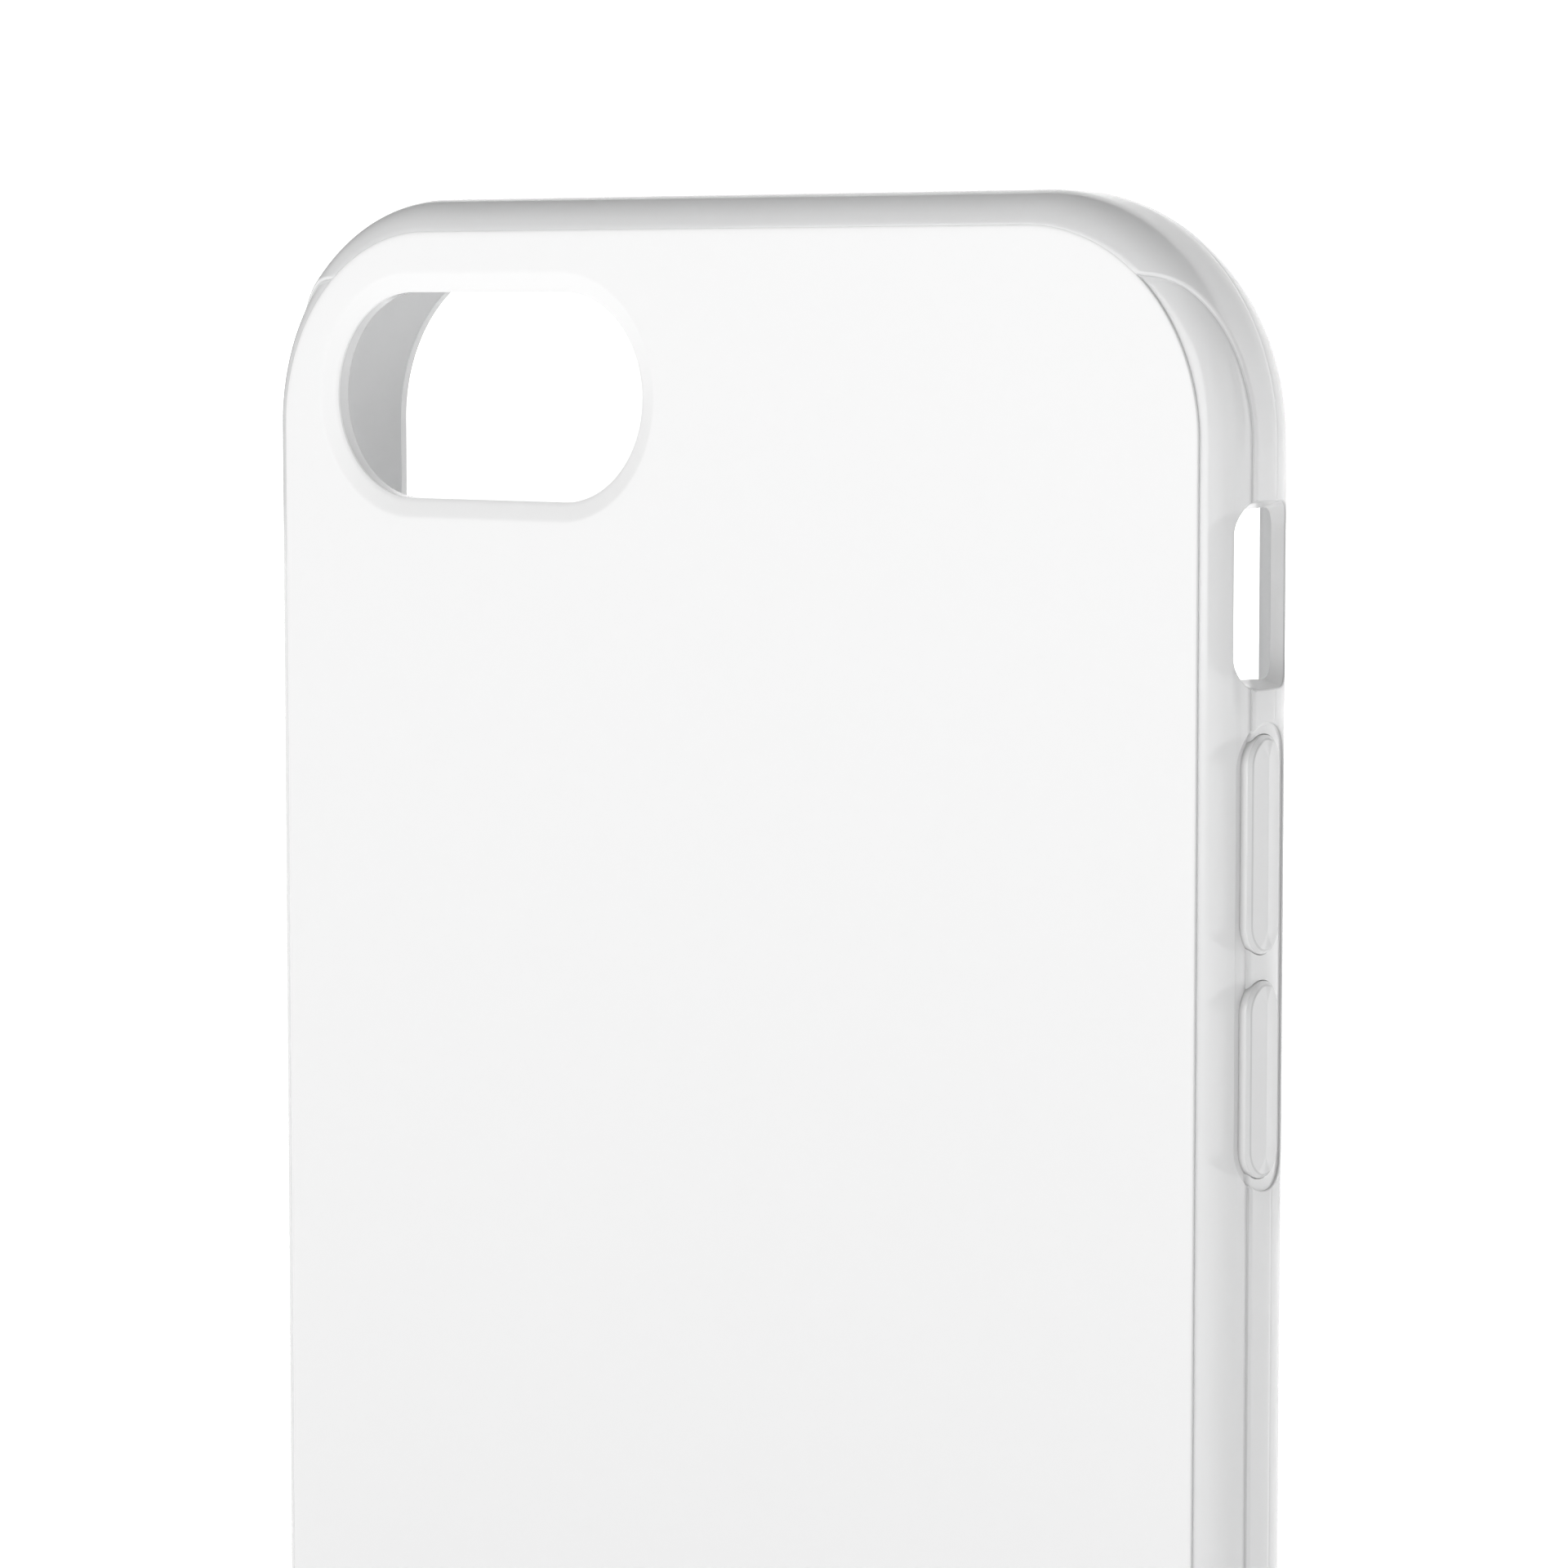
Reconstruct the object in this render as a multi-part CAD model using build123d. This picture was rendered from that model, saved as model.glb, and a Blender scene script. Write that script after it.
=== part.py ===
"""A soft clear phone case with a printed back: shell, print film and three press pads.

The case stands on its lower edge: X across it, Y from the printed back to the open front, Z along
its length. The origin is the centre of the base. Sizes are in millimetres.
"""

import os

from build123d import *

# The phone that the case fits, with the slack it is moulded with.
phone_width = 67.4
phone_length = 138.8
phone_depth = 7.1
phone_corner_radius = 11.5
phone_edge_radius = 3.0

# The shell round it.
side_wall = 1.5
end_wall = 1.4
back_wall = 1.2
lip_height = 0.4
lip_overhang = 2.1
case_width = phone_width + 2 * side_wall
case_length = phone_length + 2 * end_wall
case_depth = back_wall + phone_depth + lip_height
corner_fullness = 0.2
case_corner_radius = phone_corner_radius + side_wall + corner_fullness
back_edge_radius = 2.3
front_edge_radius = 5.5
front_edge_overrun = 0.5

# The grip scoop along each long side, a shallow step that tapers out at the corners.
scoop_depth = 0.22
scoop_width = 2.75
scoop_end_gap = 4.5
scoop_end_length = 9.5

# The printed back.
print_inset = 1.9
print_thickness = 0.12

# The camera window and the dished ring that the print follows down to it.
window_width = 23.9
window_height = 12.0
window_from_side = 17.93
window_from_top = 11.4
dish_margin = 1.1
dish_depth = 0.35

# The side openings and pads: places are measured down from the top edge and forward from the back.
mute_from_top = 21.3
mute_length = 9.8
mute_from_back = 1.4
mute_width = 5.6
mute_corner_radius = 1.7
mute_draft = 16
mute_tool_start = 0.3

pad_from_back = 3.7
pad_width = 3.3
pad_proud = 0.22
pad_top_inset = 0.25
pad_ridge_drop = 0.35
pad_inner_gap = 0.35
pad_clearance = 0.1
volume_up_from_top = 34.4
volume_up_length = 11.6
volume_down_from_top = 46.85
volume_down_length = 10.5
side_pad_from_top = 34.4
side_pad_length = 11.6
volume_pocket_from_top = 40.4
volume_pocket_length = 24.8
side_pocket_length = 13.0
pocket_from_back = 4.0
pocket_width = 4.75
pocket_depth = 0.18

# The openings in the lower edge, all centred on the phone's own thickness.
port_width = 12.6
port_height = 5.6
grille_slot_width = 15.4
grille_slot_height = 3.4
grille_slot_offset = 18.4
phone_mid_from_back = back_wall + phone_depth / 2

# Working lengths: a cut that passes right through a wall, and what a tool stands proud before it.
half_width = case_width / 2
through = 6.0
proud = 1.0


def facing_front(x, from_back, from_top):
    """A plane whose normal points to the open front, placed from the back face and the top edge."""
    return Plane(
        origin=(x, from_back - case_depth / 2, case_length - from_top),
        x_dir=(1, 0, 0),
        z_dir=(0, 1, 0),
    )


def facing_out(side, x, from_back, from_top):
    """A plane whose normal points out of a long side, with its own X along the case's length."""
    return Plane(
        origin=(side * x, from_back - case_depth / 2, case_length - from_top),
        x_dir=(0, 0, 1),
        z_dir=(side, 0, 0),
    )


def case_outline(inset):
    """The case's outline seen from behind, moved in by an inset."""
    return RectangleRounded(
        case_width - 2 * inset, case_length - 2 * inset, case_corner_radius - inset
    )


def outer_body(inset):
    """The solid outer form: a crisp round at the back and a long one that rolls over the front."""
    length_middle = case_length / 2
    full_depth = case_depth + front_edge_overrun
    body = extrude(facing_front(0, inset, length_middle) * case_outline(inset), full_depth - 2 * inset)
    by_depth = body.edges().group_by(Axis.Y)
    body = fillet(by_depth[0], back_edge_radius - inset)
    by_depth = body.edges().group_by(Axis.Y)
    body = fillet(by_depth[-1], front_edge_radius - inset)
    rim = facing_front(0, case_depth - inset, length_middle) * Rectangle(case_width, case_length)
    return body - extrude(rim, through)


def scoop_prism():
    """What the grip scoops take up, seen from the side: a long strip whose ends curve to the back."""
    straight = case_length - 2 * (scoop_end_gap + scoop_end_length)
    middle = facing_out(1, 0, 0, case_length / 2)
    strip = Rectangle(straight, 2 * scoop_width)
    ends = Ellipse(scoop_end_length, scoop_width)
    outline = strip + Pos(straight / 2, 0) * ends + Pos(-straight / 2, 0) * ends
    both_sides = extrude(middle * outline, case_width, both=True)
    printed_field = extrude(
        facing_front(0, -through, case_length / 2) * case_outline(print_inset), case_depth + 2 * through
    )
    return both_sides - printed_field


def scooped_body(inset, scoop):
    """The outer form with a grip scoop along each long side."""
    return outer_body(inset) - (scoop - outer_body(inset + scoop_depth))


def stadium(plane, length, width):
    """A slot shape on a plane, its length along the plane's X."""
    return plane * SlotOverall(length, width)


def camera_window_tool():
    """The camera window with its dished mouth."""
    x = window_from_side - half_width
    mouth = stadium(facing_front(x, 0, window_from_top), window_width + 2 * dish_margin,
                    window_height + 2 * dish_margin)
    throat = stadium(facing_front(x, dish_depth, window_from_top), window_width, window_height)
    dish = loft([mouth.face(), throat.face()])
    hole = extrude(stadium(facing_front(x, -proud, window_from_top), window_width, window_height), through)
    return dish + hole


def mute_cutout_tool():
    """The switch cut-out in the wall, narrower at its inner end."""
    middle = mute_from_back + mute_width / 2
    plane = facing_out(1, half_width + mute_tool_start, middle, mute_from_top)
    outline = plane * RectangleRounded(mute_length, mute_width, mute_corner_radius)
    return extrude(outline, -through, taper=mute_draft)


def pocket(side, from_top, length, scoop):
    """The shallow stadium panel that a group of pads stands in."""
    area = stadium(facing_out(side, half_width - through, pocket_from_back, from_top), length, pocket_width)
    return extrude(area, 2 * through) - scooped_body(pocket_depth, scoop)


def pad_hole(side, from_top, length):
    """The hole that a pad travels in."""
    grown = pad_width + 2 * pad_clearance
    area = stadium(
        facing_out(side, half_width - through, pad_from_back, from_top), length + 2 * pad_clearance, grown
    )
    return extrude(area, 2 * through)


def pad(side, from_top, length):
    """A press pad: a stadium base, a sloped shoulder and a ridged top that leans to the front."""
    inner = half_width - side_wall + pad_inner_gap
    shoulder = half_width
    base = extrude(
        stadium(facing_out(side, inner, pad_from_back, from_top), length, pad_width), shoulder - inner
    )
    shoulder_outline = stadium(facing_out(side, shoulder, pad_from_back, from_top), length, pad_width)
    top_outline = stadium(
        facing_out(side, shoulder + pad_proud, pad_from_back, from_top),
        length - 2 * pad_top_inset,
        pad_width - 2 * pad_top_inset,
    )
    crown = loft([shoulder_outline.face(), top_outline.face()])
    return (base + crown) - front_lean(side, from_top, length)


def front_lean(side, from_top, length):
    """The wedge taken off the pad's front half, which leaves a ridge down its middle."""
    reach = pad_width / 2 + proud
    top = half_width + pad_proud
    drop = pad_ridge_drop * reach / (pad_width / 2)
    ridge_y = pad_from_back - case_depth / 2
    z = case_length - from_top
    corners = [(side * top, ridge_y, z), (side * (top + proud), ridge_y, z),
               (side * (top + proud), ridge_y + reach, z), (side * (top - drop), ridge_y + reach, z)]
    wedge = make_face(Polyline(*corners, close=True))
    return extrude(wedge, length, dir=(0, 0, 1), both=True)


def lower_edge_tool(x, width, height):
    """A slot through the lower wall."""
    plane = Plane(
        origin=(x, phone_mid_from_back - case_depth / 2, -proud), x_dir=(1, 0, 0), z_dir=(0, 0, 1)
    )
    return extrude(stadium(plane, width, height), through)


def phone_space():
    """The phone's own form, rounded at its edges, and the way in past the lip."""
    length_middle = case_length / 2
    outline = RectangleRounded(phone_width, phone_length, phone_corner_radius)
    form = extrude(facing_front(0, back_wall, length_middle) * outline, phone_depth)
    by_depth = form.edges().group_by(Axis.Y)
    form = fillet(by_depth[0] + by_depth[-1], phone_edge_radius)
    screen_opening = RectangleRounded(
        phone_width - 2 * lip_overhang, phone_length - 2 * lip_overhang, phone_corner_radius - lip_overhang
    )
    way_in = extrude(facing_front(0, case_depth - phone_depth / 2, length_middle) * screen_opening, through)
    return form + way_in


def back_print(body):
    """The printed film, which follows the back face and the dish down to the camera window."""
    printed_depth = dish_depth + 2 * print_thickness
    field = extrude(
        facing_front(0, -through, case_length / 2) * case_outline(print_inset), through + printed_depth
    )
    return (body & field) - body.moved(Location((0, print_thickness, 0)))


pad_places = {
    "volume_up_cover": (1, volume_up_from_top, volume_up_length),
    "volume_down_cover": (1, volume_down_from_top, volume_down_length),
    "side_button_cover": (-1, side_pad_from_top, side_pad_length),
}


def build():
    """All the pieces of the case by name."""
    scoop = scoop_prism()
    outside = scooped_body(0, scoop) - camera_window_tool()
    film = back_print(outside)
    shell = outside - film - phone_space() - mute_cutout_tool()
    shell -= pocket(1, volume_pocket_from_top, volume_pocket_length, scoop)
    shell -= pocket(-1, side_pad_from_top, side_pocket_length, scoop)
    shell -= lower_edge_tool(0, port_width, port_height)
    for x in (-grille_slot_offset, grille_slot_offset):
        shell -= lower_edge_tool(x, grille_slot_width, grille_slot_height)
    pieces = {"back_print": film}
    for name, place in pad_places.items():
        shell -= pad_hole(*place)
        pieces[name] = pad(*place)
    pieces["clear_shell"] = shell
    return pieces


os.makedirs("parts", exist_ok=True)
for node, shape in build().items():
    export_step(shape, f"parts/{node}.step")
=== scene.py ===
"""Looks of a soft clear phone case: moulded shell, printed back, press pads and a pale studio."""

import math

import bmesh
import bpy
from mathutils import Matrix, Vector


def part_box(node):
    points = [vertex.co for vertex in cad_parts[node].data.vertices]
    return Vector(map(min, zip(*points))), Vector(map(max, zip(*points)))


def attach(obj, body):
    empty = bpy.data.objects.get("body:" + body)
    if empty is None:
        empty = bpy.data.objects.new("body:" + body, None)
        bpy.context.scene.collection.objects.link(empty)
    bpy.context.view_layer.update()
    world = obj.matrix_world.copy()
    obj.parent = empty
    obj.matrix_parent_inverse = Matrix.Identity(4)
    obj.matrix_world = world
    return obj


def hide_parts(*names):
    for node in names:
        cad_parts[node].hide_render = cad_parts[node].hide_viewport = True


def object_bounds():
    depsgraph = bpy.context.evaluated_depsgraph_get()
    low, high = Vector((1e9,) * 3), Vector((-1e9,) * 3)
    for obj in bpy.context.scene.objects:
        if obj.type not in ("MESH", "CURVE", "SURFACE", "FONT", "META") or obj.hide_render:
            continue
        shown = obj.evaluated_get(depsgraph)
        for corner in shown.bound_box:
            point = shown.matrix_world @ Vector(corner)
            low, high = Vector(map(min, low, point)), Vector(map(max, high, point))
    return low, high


bl_info = {
    "name": "Clear Phone Case",
    "version": (1, 0, 0),
    "blender": (4, 5, 0),
    "location": "3D View > Sidebar > Phone Case",
    "description": "Moulds a soft clear phone case with a printed back and sets a pale studio",
    "category": "Object",
}

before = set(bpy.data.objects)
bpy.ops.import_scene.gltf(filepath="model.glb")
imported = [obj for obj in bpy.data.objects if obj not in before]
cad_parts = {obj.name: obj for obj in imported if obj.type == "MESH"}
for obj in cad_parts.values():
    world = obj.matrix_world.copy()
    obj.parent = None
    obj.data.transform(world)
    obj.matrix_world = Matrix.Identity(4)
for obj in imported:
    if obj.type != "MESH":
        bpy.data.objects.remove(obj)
cad_low, cad_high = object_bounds()
shell_low, shell_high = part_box("clear_shell")

MM = 0.001
BACK = cad_low.y
FRONT = cad_high.y
DEPTH = FRONT - BACK
HALF_WIDTH = shell_high.x
HALF_LENGTH = (cad_high.z - cad_low.z) / 2
MIDDLE = (cad_high.z + cad_low.z) / 2
RIGHT_SIDE = 1
LEFT_SIDE = -1

QUARTER = math.pi / 2

# Steps round the case's corners, along its sides and ends, and round each half of the camera window.
CORNER_STEPS = 56
LONG_STEPS = 24
SHORT_STEPS = 12
WINDOW_STEPS = 44

# Steps down the outer face: to the scoop's groove, over it, up the scoop's step, to the parting line, over it
# and on to the lip.
BACK_STEPS = 14
GROOVE_STEPS = 5
SCOOP_STEPS = 10
SIDE_STEPS = 12
PARTING_STEPS = 6
FRONT_STEPS = 22
# The rings of the outer face that run along the foot of the scoop's step, where a painted shade marks the
# crease.
CREASE_RINGS = range(BACK_STEPS + GROOVE_STEPS - 1, BACK_STEPS + GROOVE_STEPS + 1)

# Steps over the lip, under it, and down the cavity's wall to its floor.
LIP_STEPS = 4
UNDER_LIP_STEPS = 14
CAVITY_STEPS = 18

# Steps round each quarter of a slot's end, and about how long a step is where that end is straight.
POCKET_TURN_STEPS = 44
PAD_TURN_STEPS = 30
PORT_TURN_STEPS = 20
SWITCH_TURN_STEPS = 14
SLOT_STRAIGHT_STEP = 0.2 * MM
# Where the strips across a pad's faces meet, in 150ths of its length: close together near both ends.
PAD_LONG_STEPS = (*range(16), 45, 105, *range(135, 151))

# Heights that are clear of the walls, outside them and in the cavity.
OUTSIDE = 1.0 * MM
CAVITY_DEPTH = -3.6 * MM

# How far a ring on a flat face stands off the round beside it: on the back, in the cavity, round the dish.
FILL_MARGIN = 0.15 * MM
FLOOR_MARGIN = 0.1 * MM
DISH_MARGIN = 0.25 * MM
# How far the printed film reaches into the shell, so that no gap shows under it.
FILM_OVERLAP = 0.008 * MM
# The round where the camera window's wall meets the cavity's floor.
WINDOW_INNER_ROUND = 0.1 * MM
# Where two rings of the film lie on the back's round, measured out from the flat back.
FILM_ROUND_RINGS = (0.12 * MM, 0.25 * MM)

# Points nearer than this are one point after a cut, and shorter edges are slivers.
SAME_POINT = 0.0004 * MM
SLIVER = 0.0002 * MM

# Faces stay crisp where they meet past these angles.
SHARP_DEGREES = 35
PAD_SHARP_DEGREES = 20

# The clear pieces' materials, by slot: polished and frosted plastic, then a lighter copy that is painted
# light on the openings' walls and a darker copy that is painted shade along creases and tight rounds.
POLISHED, FROSTED, PAINTED_LIGHT_WALL, PAINTED_SHADE_LINE = range(4)
CLEAR_MATERIALS = ("polished_clear", "frosted_clear", "painted_light_rim", "painted_shade_edge")
PLASTIC_IOR = 1.49

# The soft boxes: place in metres, size and watts. Then the light from all round.
SOFT_BOXES = {
    "front_box": ((-0.3, -1.2, 0.32), (1.3, 0.62), 6.8),
    "switch_side_box": ((1.3, -0.1, 0.25), (0.6, 1.2), 1.1),
}
SURROUND_LIGHT = 0.26

# Press pads by CAD node: the body each rides on and the side it stands on.
PADS = {
    "volume_up_cover": ("volume_up", RIGHT_SIDE),
    "volume_down_cover": ("volume_down", RIGHT_SIDE),
    "side_button_cover": ("side_button", LEFT_SIDE),
}


def length_setting(name, description, millimetres):
    """A size in the sidebar, kept in metres and written here in millimetres."""
    return bpy.props.FloatProperty(
        name=name, description=description, default=millimetres * MM, unit="LENGTH", min=0.0, precision=5,
    )


def colour_setting(name, description, colour):
    """A colour in the sidebar."""
    return bpy.props.FloatVectorProperty(
        name=name, description=description, default=colour, subtype="COLOR", size=3, min=0.0, max=1.0,
    )


def share_setting(name, description, share):
    """A value from 0 to 1 in the sidebar."""
    return bpy.props.FloatProperty(
        name=name, description=description, default=share, min=0.0, max=1.0, subtype="FACTOR",
    )


class PhoneCaseShellSizes(bpy.types.PropertyGroup):
    """The moulded shell's walls, rounds and grip scoops."""

    side_wall: length_setting("Side wall", "Thickness of the long sides", 1.5)
    end_wall: length_setting("End wall", "Thickness of the short ends", 1.4)
    back_wall: length_setting("Back wall", "Thickness of the back", 1.2)
    lip_height: length_setting("Lip height", "How far the lip stands over the screen", 0.4)
    lip_overhang: length_setting("Lip overhang", "How far the lip reaches over the screen", 2.1)
    lip_round: length_setting("Lip round", "Radius of the lip's inner edge", 0.12)
    corner_radius: length_setting("Corner radius", "Outer corner, seen from behind", 13.2)
    cavity_corner_radius: length_setting("Cavity corner radius", "Inner corner, seen from behind", 11.5)
    cavity_edge_radius: length_setting("Cavity edge radius", "Round along the cavity's edges", 3.0)
    back_edge_radius: length_setting("Back edge radius", "Round between the back and the sides", 2.3)
    front_edge_radius: length_setting("Front edge radius", "Long round that rolls over the front", 5.5)
    front_overrun: length_setting("Front overrun", "How far that round would run past the lip", 0.5)
    scoop_depth: length_setting("Scoop depth", "Step of the grip scoop along each long side", 0.22)
    scoop_width: length_setting("Scoop width", "How far the scoop reaches forward from the back", 2.75)
    scoop_run: length_setting("Scoop run", "Width that the scoop's step takes", 0.26)
    scoop_groove: length_setting("Scoop groove", "Depth of the fine line along the step's foot", 0.025)
    parting_from_back: length_setting("Parting from back", "The mould's parting line, from the back", 4.65)
    parting_width: length_setting("Parting width", "Width of that line", 0.3)
    parting_depth: length_setting("Parting depth", "Depth of that line", 0.02)
    scoop_end_gap: length_setting("Scoop end gap", "From the case's end to the scoop's tip", 4.5)
    scoop_end_length: length_setting("Scoop end length", "Length of the scoop's curved end", 9.5)


class PhoneCasePrintSizes(bpy.types.PropertyGroup):
    """The printed film and the camera window that it dishes down to."""

    inset: length_setting("Inset", "Clear margin round the print", 1.9)
    thickness: length_setting("Thickness", "Thickness of the printed film", 0.12)
    edge_round: length_setting("Edge round", "Radius of the film's outer edge", 0.04)
    window_width: length_setting("Window width", "Camera window, across the case", 23.9)
    window_height: length_setting("Window height", "Camera window, along the case", 12.0)
    window_from_side: length_setting("Window from side", "Window's middle from the left side", 17.93)
    window_from_top: length_setting("Window from top", "Window's middle from the top edge", 11.4)
    dish_margin: length_setting("Dish margin", "Width of the dished ring round the window", 1.1)
    dish_depth: length_setting("Dish depth", "Depth of the dished ring at the window", 0.35)


class PhoneCaseOpeningSizes(bpy.types.PropertyGroup):
    """The openings in the sides and the lower edge, and the pockets that the pads stand in."""

    mute_from_top: length_setting("Switch from top", "Switch opening's middle from the top edge", 21.3)
    mute_from_back: length_setting("Switch from back", "Switch opening's middle from the back", 4.2)
    mute_length: length_setting("Switch length", "Switch opening, along the case", 9.8)
    mute_width: length_setting("Switch width", "Switch opening, back to front", 5.6)
    mute_corner: length_setting("Switch corner", "Corner radius of the switch opening", 1.7)
    mute_draft: bpy.props.FloatProperty(
        name="Switch draft", description="Slope of the switch opening's walls",
        default=math.radians(16), subtype="ANGLE",
    )
    mouth_round: length_setting("Mouth round", "Round of each opening's outer edge", 0.11)
    pocket_from_back: length_setting("Pocket from back", "Pockets' middle from the back", 4.0)
    pocket_width: length_setting("Pocket width", "Shallow pocket round the pads", 4.75)
    pocket_depth: length_setting("Pocket depth", "Depth of that pocket", 0.18)
    pocket_round: length_setting("Pocket round", "Round of the pocket's edge", 0.1)
    volume_pocket_from_top: length_setting("Volume pocket from top", "Its middle from the top edge", 40.4)
    volume_pocket_length: length_setting("Volume pocket length", "Length along the case", 24.8)
    side_pocket_from_top: length_setting("Side pocket from top", "Its middle from the top edge", 34.4)
    side_pocket_length: length_setting("Side pocket length", "Length along the case", 13.0)
    pad_clearance: length_setting("Pad clearance", "Gap between a pad and its hole", 0.05)
    port_width: length_setting("Port width", "Charging opening, across the case", 12.6)
    port_height: length_setting("Port height", "Charging opening, back to front", 5.6)
    grille_width: length_setting("Grille width", "Sound openings, across the case", 15.4)
    grille_height: length_setting("Grille height", "Sound openings, back to front", 3.4)
    grille_offset: length_setting("Grille offset", "Sound openings' middles from the case's", 18.4)
    port_from_back: length_setting("Port from back", "Lower openings' middles from the back", 4.75)


class PhoneCasePadSizes(bpy.types.PropertyGroup):
    """The press pads."""

    shoulder_drop: length_setting("Shoulder drop", "How far a pad's shoulder falls from its top", 0.2)
    shoulder_run: length_setting("Shoulder run", "Width of a pad's shoulder", 0.28)
    ridge_drop: length_setting("Ridge drop", "Fall from the ridge to the pad's front edge", 0.35)
    hip_length: length_setting("Hip length", "Length of the facet at each end of the ridge", 0.9)
    hip_drop: length_setting("Hip drop", "Fall of that facet", 0.12)


class PhoneCaseFinish(bpy.types.PropertyGroup):
    """The case's finishes, with a painted-light tint for the openings' walls and a painted-shade tint for
    creases and tight rounds.
    """

    clear_tint: colour_setting("Clear tint", "Colour of the clear plastic", (0.953, 0.955, 0.958))
    clear_share: share_setting("Clear share", "How much light the polished faces let through", 0.28)
    # The walls' tint is painted light: a lighter, less clear copy of the plastic.
    painted_light_tint: colour_setting("Rim tint", "Colour of the openings' walls", (0.99, 0.99, 0.99))
    rim_share: share_setting("Rim share", "How much light the openings' walls let through", 0.2)
    # The tight rounds' tint is painted shade: a darker copy of the plastic that draws dark lines along
    # creases and edges.
    painted_shade_tint: colour_setting("Turned tint", "Colour of the tight rounds", (0.73, 0.732, 0.735))
    frosted_tint: colour_setting("Frosted tint", "Colour of the frosted faces", (0.87, 0.873, 0.876))
    frosted_share: share_setting("Frosted share", "How much light the frosted faces let through", 0.25)
    print_white: colour_setting("Print white", "Colour of the printed back", (0.875, 0.875, 0.875))
    print_roughness: share_setting("Print roughness", "Roughness of the printed back", 0.38)


class PhoneCaseStudio(bpy.types.PropertyGroup):
    """The camera's place."""

    lens: bpy.props.FloatProperty(
        name="Lens", description="Focal length on a 36 mm sensor, in millimetres", default=126.3, min=20.0,
    )
    azimuth: bpy.props.FloatProperty(
        name="Azimuth", description="How far the camera stands round from the back to the switch side",
        default=math.radians(39.82), subtype="ANGLE",
    )
    elevation: bpy.props.FloatProperty(
        name="Elevation", description="How far the camera looks down", default=math.radians(4.95),
        subtype="ANGLE",
    )
    distance: bpy.props.FloatProperty(
        name="Distance", description="From the camera to the point it aims at", default=0.3084,
        unit="LENGTH", min=0.05,
    )
    aim_height: length_setting("Aim height", "Height of the point the camera aims at", 108.7)
    aim_aside: length_setting("Aim aside", "How far right of the middle the camera aims", 4.14)


def ease(share):
    """A smooth step from 0 to 1."""
    share = min(max(share, 0.0), 1.0)
    return share * share * (3 - 2 * share)


def round_inset(radius, reach):
    """How far a quarter round stands back from its side, at a distance past where it leaves the side."""
    return radius - math.sqrt(max(radius * radius - reach * reach, 0.0))


# The edge of the case seen from behind.


def edge_columns(half_width, half_length, radius):
    """Points and outward directions round a rounded rectangle: as many for any size, in the same order."""
    columns = []
    for quarter in range(4):
        start = QUARTER * quarter
        towards = start + QUARTER / 2
        centre = Vector((
            math.copysign(half_width - radius, math.cos(towards)),
            math.copysign(half_length - radius, math.sin(towards)),
        ))
        for step in range(CORNER_STEPS + 1):
            angle = start + QUARTER * step / CORNER_STEPS
            out = Vector((math.cos(angle), math.sin(angle)))
            columns.append((centre + radius * out, out))
        corner_end = columns[-1][0]
        across = quarter % 2 == 0
        far = Vector((-corner_end.x, corner_end.y)) if across else Vector((corner_end.x, -corner_end.y))
        steps = SHORT_STEPS if across else LONG_STEPS
        for step in range(1, steps):
            columns.append((corner_end.lerp(far, step / steps), out))
    return columns


def edge_point(column, inset, from_back):
    """A point in from the edge and forward from the back."""
    base, out = column
    plan = base - inset * out
    return Vector((plan.x, BACK + from_back, MIDDLE + plan.y))


def window_ring(sizes, grown, from_back):
    """The camera window's outline, grown by a margin."""
    radius = sizes.window_height / 2 + grown
    straight = (sizes.window_width - sizes.window_height) / 2
    centre_x = sizes.window_from_side - HALF_WIDTH
    centre_z = cad_high.z - sizes.window_from_top
    points = []
    for side, start in ((1, -QUARTER), (-1, QUARTER)):
        for step in range(WINDOW_STEPS + 1):
            angle = start + math.pi * step / WINDOW_STEPS
            x = centre_x + side * straight + radius * math.cos(angle)
            points.append(Vector((x, BACK + from_back, centre_z + radius * math.sin(angle))))
    return points


# The shell's section.


class OuterSection:
    """The outer face from the back to the lip, by distance along it."""

    def __init__(self, sizes):
        self.back_radius = sizes.back_edge_radius
        self.front_radius = sizes.front_edge_radius
        self.front_start = DEPTH + sizes.front_overrun - sizes.front_edge_radius
        self.back_run = QUARTER * self.back_radius
        self.flat_run = self.front_start - self.back_radius
        front_turn = math.asin((DEPTH - self.front_start) / self.front_radius)
        self.end = self.back_run + self.flat_run + front_turn * self.front_radius

    def at(self, run):
        """(inset, distance from the back, and the outward direction in the same two) at a distance along."""
        if run < self.back_run:
            turn = run / self.back_radius
            out = (-math.sin(turn), -math.cos(turn))
            return self.back_radius * (1 + out[0]), self.back_radius * (1 + out[1]), out
        run -= self.back_run
        if run < self.flat_run:
            return 0.0, self.back_radius + run, (-1.0, 0.0)
        turn = (run - self.flat_run) / self.front_radius
        out = (-math.cos(turn), math.sin(turn))
        return self.front_radius * (1 + out[0]), self.front_start + self.front_radius * out[1], out

    def run_at_depth(self, from_back):
        """The distance along at which the front round is a distance from the back."""
        turn = math.asin((from_back - self.front_start) / self.front_radius)
        return self.back_run + self.flat_run + turn * self.front_radius

    def run_at_inset(self, inset):
        """The distance along at which the back round is an inset in from the edge."""
        return self.back_radius * math.asin(1 - inset / self.back_radius)

    def inset_at(self, from_back, sunk):
        """How far in the outer face is at a distance from the back, sunk below its usual place."""
        if from_back < self.back_radius:
            radius, reach = self.back_radius, self.back_radius - from_back
        else:
            radius, reach = self.front_radius, max(from_back - self.front_start, 0.0)
        return radius - math.sqrt(max((radius - sunk) ** 2 - reach**2, 0.0))


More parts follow.
